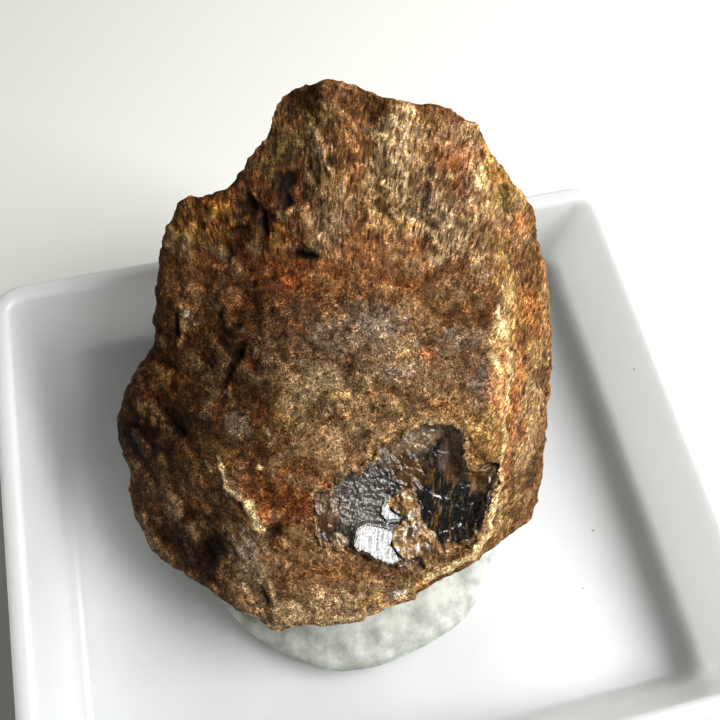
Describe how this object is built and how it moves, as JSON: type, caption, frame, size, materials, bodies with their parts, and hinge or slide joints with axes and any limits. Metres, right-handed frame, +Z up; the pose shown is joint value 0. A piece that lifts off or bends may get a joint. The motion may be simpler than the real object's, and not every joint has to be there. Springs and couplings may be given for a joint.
{
  "type": "betafite crystal in a specimen tray",
  "caption": "Brown betafite crystal with a broad leaning face and a glassy break, held by grey mineral putty in a shallow white plastic tray.",
  "frame": {"origin": "middle of the tray's underside, on the surface that it stands on", "axes": "+Z up, +X along the tray's long side to the right, +Y from the front to the back; the stone's broad face leans back towards +Y"},
  "size_m": [0.0608, 0.0502, 0.0345],
  "materials": {
    "betafite": "rough earthy rind of a metamict crystal, brown with rust red and ochre, and one glassy black break",
    "putty": "matt kneaded mineral putty, pale grey",
    "tray": "white moulded polystyrene, satin"
  },
  "bodies": {
    "root": {"betafite": "betafite", "putty": "putty", "tray": "tray"}
  },
  "joints": []
}
